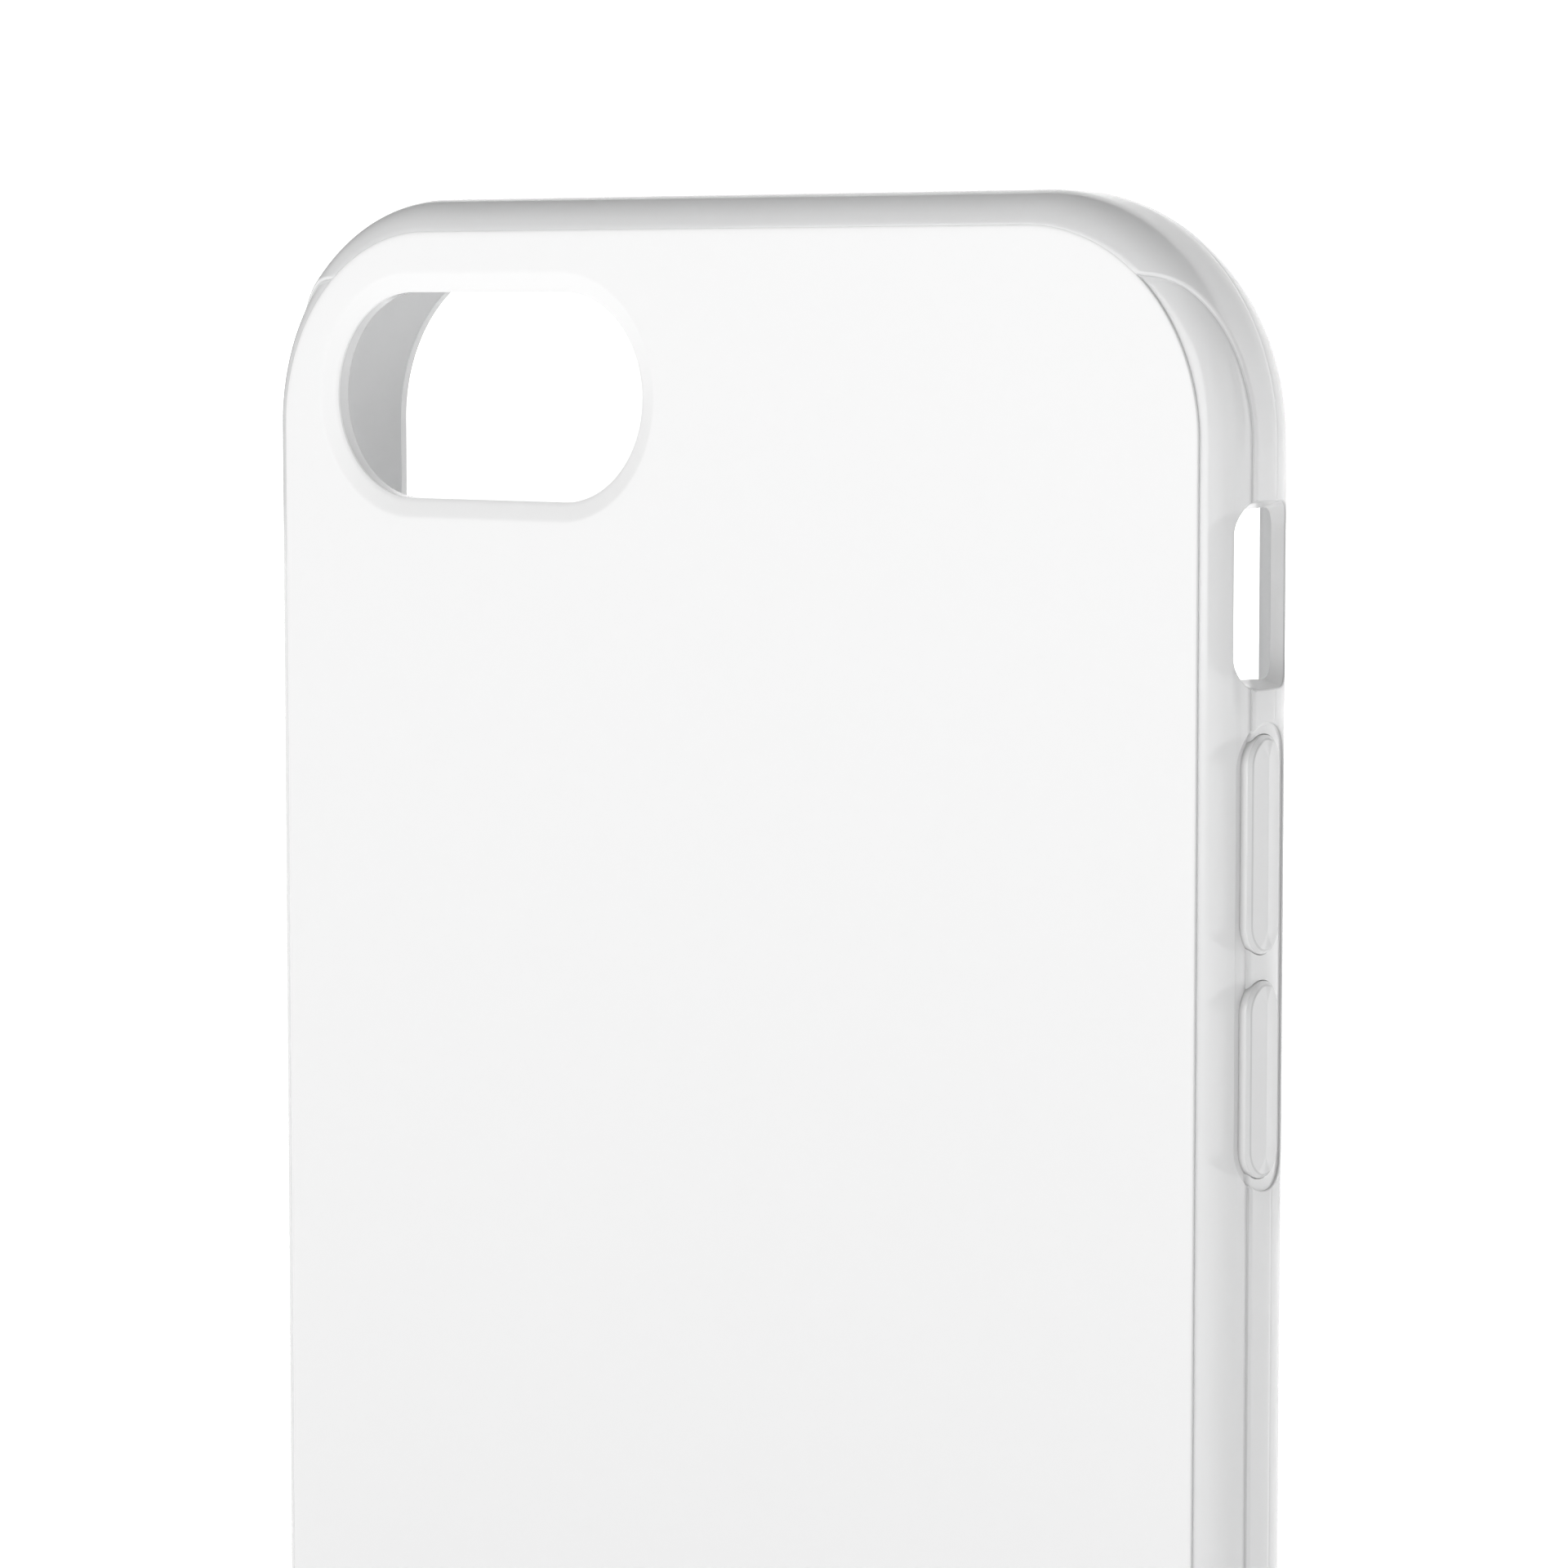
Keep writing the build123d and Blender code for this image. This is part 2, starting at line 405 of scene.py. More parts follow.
def scoop_sunk(sizes, past):
    """How deep the scoop lies at a distance past its crease: a fine groove, a foot and a rounded top."""
    share = past / sizes.scoop_run + 0.5
    if share >= 1:
        return 0.0
    if share >= 0:
        return sizes.scoop_depth * (1 - math.sqrt(1 - (1 - share) ** 2))
    return sizes.scoop_depth + sizes.scoop_groove * (1 - ease(-share))


def scoop_reach(sizes, height):
    """How far forward a grip scoop reaches at a height from the case's middle."""
    straight = HALF_LENGTH - sizes.scoop_end_gap - sizes.scoop_end_length
    past = (abs(height) - straight) / sizes.scoop_end_length
    if past <= 0:
        return sizes.scoop_width
    return sizes.scoop_width * math.sqrt(1 - past * past) if past < 1 else 0.0


def crease_run(sizes, section, column, start):
    """Where along the section a column crosses the scoop's crease, or the start where there is none."""
    base, out = column

    def ahead(run):
        inset, from_back, _ = section.at(run)
        return from_back - scoop_reach(sizes, base.y - inset * out.y)

    low, high = start, section.back_run + section.flat_run
    if ahead(low) >= 0:
        return start
    for _ in range(40):
        middle = (low + high) / 2
        low, high = (middle, high) if ahead(middle) < 0 else (low, middle)
    return low


def stations(start, end, count):
    """Evenly spaced distances from a start up to, but without, an end."""
    return [start + (end - start) * i / count for i in range(count)]


def outer_column(sizes, print_sizes, section, column):
    """The outer face's points down one column, from the print's edge to the lip."""
    start = section.run_at_inset(print_sizes.inset)
    crease = crease_run(sizes, section, column, start)
    half_run = sizes.scoop_run / 2
    depth = sizes.scoop_depth * ease((crease - start) / (3 * half_run))
    crease = max(crease, start + half_run * 1.2)
    foot = crease - half_run
    groove = min(sizes.scoop_run, (foot - start) / 2)
    top = crease + half_run
    parting = section.run_at_depth(sizes.parting_from_back)
    half_line = sizes.parting_width / 2
    runs = stations(start, foot - groove, BACK_STEPS)
    runs += stations(foot - groove, foot - 0.01 * groove, GROOVE_STEPS)
    runs += stations(foot, top, SCOOP_STEPS)
    runs += stations(top, parting - half_line, SIDE_STEPS)
    runs += stations(parting - half_line, parting + half_line, PARTING_STEPS)
    runs += stations(parting + half_line, section.end, FRONT_STEPS) + [section.end]
    points = []
    for run in runs:
        inset, from_back, out = section.at(run)
        sunk = scoop_sunk(sizes, run - crease) * depth / sizes.scoop_depth
        sunk += sizes.parting_depth * (1 - ease(abs(run - parting) / half_line))
        points.append(edge_point(column, inset - sunk * out[0], from_back - sunk * out[1]))
    return points


def lip_and_cavity_column(sizes, column):
    """The points down one column over the lip and down the cavity's wall to its floor."""
    radius = sizes.cavity_edge_radius
    lip = sizes.lip_overhang
    turned = sizes.lip_round
    screen = DEPTH - sizes.lip_height
    section = [(lip - turned, DEPTH)]
    for step in range(1, LIP_STEPS + 1):
        turn = QUARTER * step / LIP_STEPS
        section.append((lip - turned + turned * math.sin(turn), DEPTH - turned + turned * math.cos(turn)))
    lip_turn = math.acos(1 - lip / radius)
    for step in range(UNDER_LIP_STEPS + 1):
        turn = lip_turn * (1 - step / UNDER_LIP_STEPS)
        section.append((radius * (1 - math.cos(turn)), screen - radius * (1 - math.sin(turn))))
    for step in range(CAVITY_STEPS + 1):
        turn = QUARTER * step / CAVITY_STEPS
        inset = radius * (1 - math.cos(turn))
        section.append((inset, sizes.back_wall + radius * (1 - math.sin(turn))))
    section.append((radius + FLOOR_MARGIN, sizes.back_wall))
    return [edge_point(column, inset, from_back) for inset, from_back in section]


def recess_section(sizes, print_sizes, section):
    """Inset and depth of the bed that the film lies in, from the flat back out to the print's edge."""
    flat = sizes.back_edge_radius
    bed = print_sizes.thickness
    points = [(flat + FILL_MARGIN, bed), (flat, bed)]
    for share in (0.5, 1.0):
        inset = flat - (flat - print_sizes.inset) * share
        _, from_back, _ = section.at(section.run_at_inset(inset))
        points.append((inset, from_back + bed))
    return points


# The pads' shoulder: how far in, and how much of the drop is left there. Below it, rings on the pad's wall.
SHOULDER = ((0.02, 0.96), (0.1, 0.84), (0.35, 0.55), (0.65, 0.23), (0.8, 0.08), (1.0, 0.0))
PAD_WALL_RINGS = (0.3 * MM, 0.03 * MM)
PAD_FOOT_ROUND = 0.1 * MM
PAD_HIP_WIDTH = 0.8 * MM

# How far round its outer edge each of an opening's rings lies, from the surface down to the wall.
MOUTH_DEGREES = (24, 42, 60, 76, 90)

# The pocket's rim: growth and height in rim rounds. Its foot: growth in rim rounds, height in pocket depths.
POCKET_RIM = ((0.59, -0.09), (0.25, -0.3), (0.0, -0.6))
POCKET_FOOT = ((-0.15, -0.85), (-0.6, -0.97), (-1.2, -1.0))

# The dished ring's fall towards the window: how far out, and how much of the depth is left there.
DISH_FALL = (
    (0, 1), (0.25, 0.75), (0.5, 0.5), (0.75, 0.25), (0.9, 0.105), (0.96, 0.055), (1.02, 0.018), (1.08, 0),
)


def dish_section(sizes, lowered):
    """Growth and depth of the dished ring, from the window out to the flat back."""
    section = [(sizes.dish_margin * share, sizes.dish_depth * fall + lowered) for share, fall in DISH_FALL]
    section.append((sizes.dish_margin + DISH_MARGIN, lowered))
    return section


# Mesh building.


def add_ring(mesh, points):
    return [mesh.verts.new(point) for point in points]


def bridge(mesh, first, second, slot=0):
    """Quads between two closed rings of as many points, in one material or in one for each quad."""
    count = len(first)
    for i in range(count):
        j = (i + 1) % count
        face = mesh.faces.new((first[i], first[j], second[j], second[i]))
        face.material_index = slot[i] if isinstance(slot, list) else slot


def fill_between(mesh, outer, inner, slot=0):
    """Flat faces between an outer ring and the ring of a hole in it."""
    edges = []
    for ring in (outer, inner):
        for i, vertex in enumerate(ring):
            edges.append(mesh.edges.get((vertex, ring[(i + 1) % len(ring)])))
    made = bmesh.ops.triangle_fill(mesh, edges=edges, use_beauty=True, normal=(0, 1, 0))
    for face in made["geom"]:
        if isinstance(face, bmesh.types.BMFace):
            face.material_index = slot


def link(name, mesh, materials, sharp=SHARP_DEGREES):
    """An object from a finished bmesh, shaded smooth up to an angle."""
    bmesh.ops.recalc_face_normals(mesh, faces=mesh.faces)
    data = bpy.data.meshes.new(name)
    mesh.to_mesh(data)
    mesh.free()
    for material in materials:
        data.materials.append(material)
    obj = bpy.data.objects.new(name, data)
    bpy.context.scene.collection.objects.link(obj)
    shade(obj, sharp)
    return obj


def shade(obj, sharp=SHARP_DEGREES):
    """Smooth faces, with edges kept crisp past an angle in degrees."""
    obj.data.shade_smooth()
    obj.data.set_sharp_from_angle(angle=math.radians(sharp))


# Slots: openings, pockets and pads share one way of building.


class Place:
    """Where a slot sits on an edge: along it, forward from the back, and out from it."""

    def __init__(self, out, along, origin, middle, from_back):
        self.out = Vector(out)
        self.along = Vector(along)
        self.origin = Vector(origin)
        self.middle = middle
        self.from_back = from_back

    def point(self, along, forward, height):
        """A point in the model from the slot's own three distances."""
        y = BACK + self.from_back + forward
        return self.origin + Vector((0, y, 0)) + (self.middle + along) * self.along + height * self.out


def side_place(side, from_top, from_back):
    """A place on a long side."""
    return Place((side, 0, 0), (0, 0, 1), (side * HALF_WIDTH, 0, 0), cad_high.z - from_top, from_back)


def lower_place(x, from_back):
    """A place on the lower edge."""
    return Place((0, 0, -1), (1, 0, 0), (0, 0, cad_low.z), x, from_back)


def half_outline(length, width, radius, turn_steps):
    """One end of a slot from its back to its front: (along, forward, and the outward direction in both)."""
    reach = length / 2 - radius
    rise = width / 2 - radius
    straight_steps = round(2 * rise / SLOT_STRAIGHT_STEP)
    points = []
    for step in range(turn_steps + 1):
        turn = QUARTER * (step / turn_steps - 1)
        points.append((reach + radius * math.cos(turn), radius * math.sin(turn) - rise,
                       math.cos(turn), math.sin(turn)))
    for step in range(1, straight_steps + 1):
        points.append((length / 2, -rise + 2 * rise * step / straight_steps, 1.0, 0.0))
    for step in range(1, turn_steps + 1):
        turn = QUARTER * step / turn_steps
        points.append((reach + radius * math.cos(turn), radius * math.sin(turn) + rise,
                       math.cos(turn), math.sin(turn)))
    return points


def slot_solid(mesh, place, end, rings, cap_shares=(0.0, 1.0), slots=None):
    """A closed solid from a slot's outline: rings of (growth, height rule), capped at both ends.

    Its material slots are one for each ring and the next; without them all is polished.
    """

    def vertex_row(growth, rule, mirror):
        row = []
        for along, forward, out_along, out_forward in end:
            a = mirror * (along + growth * out_along)
            f = forward + growth * out_forward
            row.append(mesh.verts.new(place.point(a, f, rule(a, f))))
        return row

    loops = []
    for growth, rule in rings:
        right = vertex_row(growth, rule, 1)
        left = vertex_row(growth, rule, -1)
        loops.append((right, left))
    slots = slots or [POLISHED] * (len(loops) - 1)
    for (right, left), (next_right, next_left), slot in zip(loops, loops[1:], slots):
        bridge(mesh, right + left[::-1], next_right + next_left[::-1], slot)
    for (growth, rule), (right, left) in ((rings[0], loops[0]), (rings[-1], loops[-1])):
        cap(mesh, place, end, growth, rule, right, left, cap_shares)


def cap(mesh, place, end, growth, rule, right, left, shares):
    """Closes a slot's end with strips across it."""
    rows = [right]
    for share in shares[1:-1]:
        row = []
        for along, forward, out_along, out_forward in end:
            a = (along + growth * out_along) * (1 - 2 * share)
            f = forward + growth * out_forward
            row.append(mesh.verts.new(place.point(a, f, rule(a, f))))
        rows.append(row)
    rows.append(left)
    for near, far in zip(rows, rows[1:]):
        for i in range(len(end) - 1):
            mesh.faces.new((near[i], near[i + 1], far[i + 1], far[i]))
    for last in (0, -1):
        if len(rows) > 2:
            mesh.faces.new([row[last] for row in rows])


def cut(obj, tool_mesh, materials):
    """Takes a closed tool's form out of an object and clears away slivers."""
    tool = link("tool", tool_mesh, materials)
    modifier = obj.modifiers.new("cut", "BOOLEAN")
    modifier.operation = "DIFFERENCE"
    modifier.solver = "MANIFOLD"
    modifier.object = tool
    bpy.context.view_layer.update()
    finished = obj.evaluated_get(bpy.context.evaluated_depsgraph_get())
    mesh = bmesh.new()
    mesh.from_mesh(finished.data)
    obj.modifiers.clear()
    bmesh.ops.remove_doubles(mesh, verts=mesh.verts, dist=SAME_POINT)
    bmesh.ops.dissolve_degenerate(mesh, edges=mesh.edges, dist=SLIVER)
    mesh.to_mesh(obj.data)
    mesh.free()
    bpy.data.objects.remove(tool)


def level(height):
    """A height rule that is the same all over."""
    return lambda along, forward: height


def outside_rings(surface, radius):
    """A cutting tool's two outermost rings, clear of the surface that it cuts."""
    return [(1.6 * radius, level(OUTSIDE)), (1.3 * radius, surface(0.18 * radius))]


def mouth_rings(surface, radius):
    """Rings for an opening's rounded outer edge, from outside the surface down to the wall."""
    rings = outside_rings(surface, radius)
    for degrees in MOUTH_DEGREES:
        turn = math.radians(degrees)
        rings.append((radius * (1 - math.sin(turn)), surface(-radius * (1 - math.cos(turn)))))
    return rings


def side_surface(from_back):
    """A rule maker for heights measured from the long side's scooped face."""
    sizes = bpy.context.scene.phone_case_shell
    section = OuterSection(sizes)

    def surface(rise):
        def height(along, forward):
            reach = from_back + forward
            return -section.inset_at(reach, scoop_sunk(sizes, reach - sizes.scoop_width) - rise)
        return height

    return surface


def lower_surface(x, from_back):
    """A rule maker for heights measured from the lower edge, which turns up at its corners."""
    sizes = bpy.context.scene.phone_case_shell
    section = OuterSection(sizes)
    corner_start = HALF_WIDTH - sizes.corner_radius

    def surface(rise):
        def height(along, forward):
            inset = section.inset_at(from_back + forward, -rise)
            past = max(abs(x + along) - corner_start, 0.0)
            return -inset - round_inset(sizes.corner_radius - inset, past)
        return height

    return surface


class PHONECASE_OT_clear_shell(bpy.types.Operator):
    """Mould the clear shell with its lip, scoops, pockets and openings"""

    bl_idname = "phone_case.clear_shell"
    bl_label = "Clear Shell"

    def execute(self, context):
        sizes = context.scene.phone_case_shell
        finish = context.scene.phone_case_finish
        mesh = self.form(sizes, context.scene.phone_case_print)
        openings = context.scene.phone_case_openings
        materials = clear_materials(finish)
        shell = link("moulded_shell", mesh, materials)
        cut(shell, self.pocket_tools(openings), materials)
        cut(shell, self.pad_hole_tools(openings), materials)
        cut(shell, self.opening_tools(openings), materials)
        shade(shell)
        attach(shell, "case")
        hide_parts("clear_shell")
        return {"FINISHED"}

    def form(self, sizes, print_sizes):
        """The shell with its camera window, before the side openings."""
        section = OuterSection(sizes)
        edge = edge_columns(HALF_WIDTH, HALF_LENGTH, sizes.corner_radius)
        cavity = edge_columns(
            HALF_WIDTH - sizes.side_wall, HALF_LENGTH - sizes.end_wall, sizes.cavity_corner_radius
        )
        mesh = bmesh.new()
        bed = [
            add_ring(mesh, [edge_point(column, inset, from_back) for column in edge])
            for inset, from_back in recess_section(sizes, print_sizes, section)
        ]
        outer = zip(*[outer_column(sizes, print_sizes, section, column) for column in edge])
        inner = zip(*[lip_and_cavity_column(sizes, column) for column in cavity])
        outer_rings = [add_ring(mesh, points) for points in outer]
        inner_rings = [add_ring(mesh, points) for points in inner]
        rings = bed + outer_rings + inner_rings
        polished = len(bed) + len(outer_rings) + LIP_STEPS + 1
        slots = [POLISHED] * polished + [FROSTED] * (len(rings) - polished)
        start = section.run_at_inset(print_sizes.inset)
        creases = [crease_run(sizes, section, column, start) > start + sizes.scoop_run for column in edge]
        # Painted shade along the foot of the scoop's step, wherever the column crosses a crease.
        for i in CREASE_RINGS:
            slots[len(bed) + i] = [PAINTED_SHADE_LINE if creased else POLISHED for creased in creases]
        for near, far, slot in zip(rings, rings[1:], slots):
            bridge(mesh, near, far, slot)
        window = [
            add_ring(mesh, window_ring(print_sizes, grown, from_back))
            for grown, from_back in self.window_section(sizes, print_sizes)
        ]
        for near, far in zip(window, window[1:]):
            bridge(mesh, near, far)
        fill_between(mesh, rings[0], window[0])
        fill_between(mesh, rings[-1], window[-1], FROSTED)
        return mesh

    def window_section(self, sizes, print_sizes):
        """Growth and depth from the flat back down the dished ring and the window's wall to the cavity."""
        section = dish_section(print_sizes, print_sizes.thickness)[::-1]
        radius = WINDOW_INNER_ROUND
        for step in range(5):
            turn = QUARTER * step / 4
            section.append((radius * (1 - math.cos(turn)), sizes.back_wall - radius * (1 - math.sin(turn))))
        section.append((3 * radius, sizes.back_wall))
        return section

    def pocket_tools(self, openings):
        """Tools for the shallow pockets, whose floors follow the scooped sides."""
        mesh = bmesh.new()
        width, depth, edge = openings.pocket_width, openings.pocket_depth, openings.pocket_round
        pockets = (
            (RIGHT_SIDE, openings.volume_pocket_from_top, openings.volume_pocket_length),
            (LEFT_SIDE, openings.side_pocket_from_top, openings.side_pocket_length),
        )
        for side, from_top, length in pockets:
            surface = side_surface(openings.pocket_from_back)
            rings = outside_rings(surface, edge)
            rings += [(grown * edge, surface(sunk * edge)) for grown, sunk in POCKET_RIM]
            rings += [(grown * edge, surface(sunk * depth)) for grown, sunk in POCKET_FOOT]
            end = half_outline(length, width, width / 2, POCKET_TURN_STEPS)
            place = side_place(side, from_top, openings.pocket_from_back)
            # The band down the pocket's wall near its foot is painted shade.
            slots = [POLISHED] * 4 + [PAINTED_SHADE_LINE, POLISHED, POLISHED]
            slot_solid(mesh, place, end, rings, slots=slots)
        return mesh

    def pad_hole_tools(self, openings):
        """Tools for the holes that the pads travel in."""
        mesh = bmesh.new()
        for node, (_, side) in PADS.items():
            low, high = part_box(node)
            width = high.y - low.y + 2 * openings.pad_clearance
            length = high.z - low.z + 2 * openings.pad_clearance
            middle_from_back = (high.y + low.y) / 2 - BACK
            place = side_place(side, cad_high.z - (high.z + low.z) / 2, middle_from_back)
            end = half_outline(length, width, width / 2, PAD_TURN_STEPS)
            rings = [(0.0, level(OUTSIDE)), (0.0, level(CAVITY_DEPTH))]
            # The holes' walls take the painted-light copy of the plastic.
            slot_solid(mesh, place, end, rings, slots=[PAINTED_LIGHT_WALL])
        return mesh

    def opening_tools(self, openings):
        """Tools for the switch opening and the openings in the lower edge."""
        mesh = bmesh.new()
        mouth = openings.mouth_round
        length, width = openings.mute_length, openings.mute_width
        end = half_outline(length, width, openings.mute_corner, SWITCH_TURN_STEPS)
        rings = mouth_rings(side_surface(openings.mute_from_back), mouth)
        rings.append((CAVITY_DEPTH * math.tan(openings.mute_draft), level(CAVITY_DEPTH)))
        # The rounds of each opening's mouth are painted shade, and its wall is painted light.
        slots = [PAINTED_SHADE_LINE] * (len(rings) - 2) + [PAINTED_LIGHT_WALL]
        place = side_place(RIGHT_SIDE, openings.mute_from_top, openings.mute_from_back)
        slot_solid(mesh, place, end, rings, slots=slots)
        lower = [(0.0, openings.port_width, openings.port_height)]
        for side in (-1, 1):
            lower.append((side * openings.grille_offset, openings.grille_width, openings.grille_height))
        for x, width, height in lower:
            end = half_outline(width, height, height / 2, PORT_TURN_STEPS)
            rings = mouth_rings(lower_surface(x, openings.port_from_back), mouth)
            rings.append((0.0, level(1.2 * CAVITY_DEPTH)))
            slot_solid(mesh, lower_place(x, openings.port_from_back), end, rings, slots=slots)
        return mesh


class PHONECASE_OT_back_print(bpy.types.Operator):
    """Lay the printed film on the back and down into the dish round the camera window"""

    bl_idname = "phone_case.back_print"
    bl_label = "Back Print"

    def execute(self, context):
        sizes = context.scene.phone_case_shell
        print_sizes = context.scene.phone_case_print
        film = link("printed_film", self.form(sizes, print_sizes), (
            white_print(context.scene.phone_case_finish),
        ))
        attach(film, "case")
        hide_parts("back_print")
        return {"FINISHED"}

    def form(self, sizes, print_sizes):
        """The film: a thin closed sheet that keeps to the back's round at its edge."""
        section = OuterSection(sizes)
        edge = edge_columns(HALF_WIDTH, HALF_LENGTH, sizes.corner_radius)
        bedded = print_sizes.thickness + FILM_OVERLAP
        mesh = bmesh.new()
        rings = [
            add_ring(mesh, [edge_point(column, inset, from_back) for column in edge])
            for inset, from_back in self.edge_section(sizes, print_sizes, section, bedded)
        ]
        window_section = dish_section(print_sizes, 0.0)[::-1]
        turned = 0.3 * print_sizes.edge_round
        window_section[-1] = (turned, window_section[-1][1])
        window_section.append((0.0, print_sizes.dish_depth + turned))
        window_section += dish_section(print_sizes, bedded)
        window = [
            add_ring(mesh, window_ring(print_sizes, grown, from_back)) for grown, from_back in window_section
        ]
        for loops in (rings, window):
            for near, far in zip(loops, loops[1:]):
                bridge(mesh, near, far)
        fill_between(mesh, rings[0], window[0])
        fill_between(mesh, rings[-1], window[-1])
        return mesh

    def edge_section(self, sizes, print_sizes, section, bedded):
        """Inset and depth from the flat back out over the film's edge and in again underneath."""
        flat = sizes.back_edge_radius
        turned = print_sizes.edge_round
        edge = print_sizes.inset - FILM_OVERLAP
        _, edge_depth, _ = section.at(section.run_at_inset(edge))
        over = [(flat + FILL_MARGIN, 0.0), (flat, 0.0)]
        for inset in (*(flat - out for out in FILM_ROUND_RINGS), edge + turned):
            over.append((inset, section.at(section.run_at_inset(inset))[1]))
        over += [(edge + 0.3 * turned, edge_depth + 0.3 * turned), (edge, edge_depth + turned)]
        under = [(edge, edge_depth + bedded), (flat, bedded), (flat + FILL_MARGIN, bedded)]
        return over + under


class PHONECASE_OT_press_pads(bpy.types.Operator):
    """Mould the ridged press pads over the buttons"""

    bl_idname = "phone_case.press_pads"
    bl_label = "Press Pads"

    def execute(self, context):
        sizes = context.scene.phone_case_pads
        materials = [bpy.data.materials[name] for name in CLEAR_MATERIALS]
        for node, (body, side) in PADS.items():
            mesh = self.form(sizes, node, side)
            pad = link(node.replace("cover", "pad"), mesh, materials, PAD_SHARP_DEGREES)
            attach(pad, body)
            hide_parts(node)
        return {"FINISHED"}

    def form(self, sizes, node, side):
        """A pad: a rounded foot, a soft shoulder and a top that falls from a ridge to the front."""
        low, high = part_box(node)
        length, width = high.z - low.z, high.y - low.y
        foot = min(abs(low.x), abs(high.x)) - HALF_WIDTH
        top = max(abs(low.x), abs(high.x)) - HALF_WIDTH

        def top_rule(sink):
            def height(along, forward):
                lean = sizes.ridge_drop * max(forward, 0.0) / (width / 2)
                share = 1 - (length / 2 - sizes.shoulder_run - abs(along)) / sizes.hip_length
                hip = sizes.hip_drop * (share + min(forward, 0.0) / PAD_HIP_WIDTH)
                return top - max(lean, hip, 0.0) - sink
            return height

        run, drop = sizes.shoulder_run, sizes.shoulder_drop
        turned = 0.3 * PAD_FOOT_ROUND
        rings = [(-PAD_FOOT_ROUND, level(foot)), (-turned, level(foot + turned))]
        rings.append((0.0, level(foot + PAD_FOOT_ROUND)))
        rings += [(0.0, top_rule(drop + under)) for under in PAD_WALL_RINGS]
        rings += [(-run * share, top_rule(drop * fall)) for share, fall in SHOULDER]
        mesh = bmesh.new()
        end = half_outline(length, width, width / 2, PAD_TURN_STEPS)
        shares = [step / 150 for step in PAD_LONG_STEPS]
        middle_from_back = (high.y + low.y) / 2 - BACK
        place = side_place(side, cad_high.z - (high.z + low.z) / 2, middle_from_back)
        # The pad's foot and wall are painted light, and the tight round at the top of its shoulder is painted
        # shade.
        slots = [PAINTED_LIGHT_WALL] * 4 + [POLISHED] * (len(rings) - 7) + [PAINTED_SHADE_LINE] * 2
        slot_solid(mesh, place, end, rings, shares, slots)
        for face in mesh.faces:
            if all(abs(v.co.x) < HALF_WIDTH + foot + 0.1 * PAD_FOOT_ROUND for v in face.verts):
                face.material_index = FROSTED
        return mesh


def new_material(name):
    """A material with a Principled shader, and the two as (material, shader)."""
    material = bpy.data.materials.new(name)
    material.use_nodes = True
    return material, material.node_tree.nodes["Principled BSDF"]


def grain(material, shader, scale, detail, distance, low, high):
    """A moulded surface's fine grain: a small bump, and gloss that varies with it."""
    tree = material.node_tree
    place = tree.nodes.new("ShaderNodeTexCoord")
    noise = tree.nodes.new("ShaderNodeTexNoise")
    noise.inputs["Scale"].default_value = scale
    noise.inputs["Detail"].default_value = detail
    tree.links.new(place.outputs["Object"], noise.inputs["Vector"])
    bump = tree.nodes.new("ShaderNodeBump")
    bump.inputs["Strength"].default_value = 1.0
    bump.inputs["Distance"].default_value = distance
    tree.links.new(noise.outputs["Fac"], bump.inputs["Height"])
    tree.links.new(bump.outputs["Normal"], shader.inputs["Normal"])
    gloss = tree.nodes.new("ShaderNodeMapRange")
    gloss.inputs["To Min"].default_value = low
    gloss.inputs["To Max"].default_value = high
    tree.links.new(noise.outputs["Fac"], gloss.inputs["Value"])
    tree.links.new(gloss.outputs["Result"], shader.inputs["Roughness"])


def clear_plastic(name, tint, share, **surface):
    """Clear flexible plastic with a tint, the share of light it lets through, and its grain."""
    material, shader = new_material(name)
    shader.inputs["Base Color"].default_value = (*tint, 1.0)
    shader.inputs["Transmission Weight"].default_value = share
    shader.inputs["IOR"].default_value = PLASTIC_IOR
    grain(material, shader, **surface)
    return material


def clear_materials(finish):
    """The plastic's finishes by slot: polished, frosted where the mould is matt, and at edges a bright copy
    that is painted light and a dark copy that is painted shade.
    """
    polished = {"scale": 220.0, "detail": 2.0, "distance": 0.000004, "low": 0.06, "high": 0.14}
    frosted = {"scale": 4200.0, "detail": 3.0, "distance": 0.000006, "low": 0.42, "high": 0.58}
    edge = {"scale": 900.0, "detail": 2.0, "distance": 0.000003, "low": 0.12, "high": 0.2}
    looks = (
        (finish.clear_tint, finish.clear_share, polished),
        (finish.frosted_tint, finish.frosted_share, frosted),
        # A painted-light copy for the openings' walls and a painted-shade copy for creases and tight rounds.
        (finish.painted_light_tint, finish.rim_share, edge),
        (finish.painted_shade_tint, finish.rim_share, edge),
    )
    return [
        clear_plastic(name, tint, share, **surface)
        for name, (tint, share, surface) in zip(CLEAR_MATERIALS, looks)
    ]


def white_print(finish):
    """Opaque white ink under a satin film, with a faint orange-peel."""
    material, shader = new_material("white_print")
    shader.inputs["Base Color"].default_value = (*finish.print_white, 1.0)
    low, high = finish.print_roughness * 0.9, finish.print_roughness * 1.1
    grain(material, shader, scale=1400.0, detail=2.0, distance=0.000003, low=low, high=high)
    return material


def area_light(name, place, aim, size, watts):
    """A soft box at a place, turned to a point."""
    data = bpy.data.lights.new(name, "AREA")
    data.shape = "RECTANGLE"
    data.size, data.size_y = size
    data.energy = watts
    lamp = bpy.data.objects.new(name, data)
    bpy.context.scene.collection.objects.link(lamp)
    lamp.location = place
    lamp.rotation_mode = "QUATERNION"
    lamp.rotation_quaternion = (Vector(aim) - Vector(place)).to_track_quat("-Z", "Y")
    return lamp


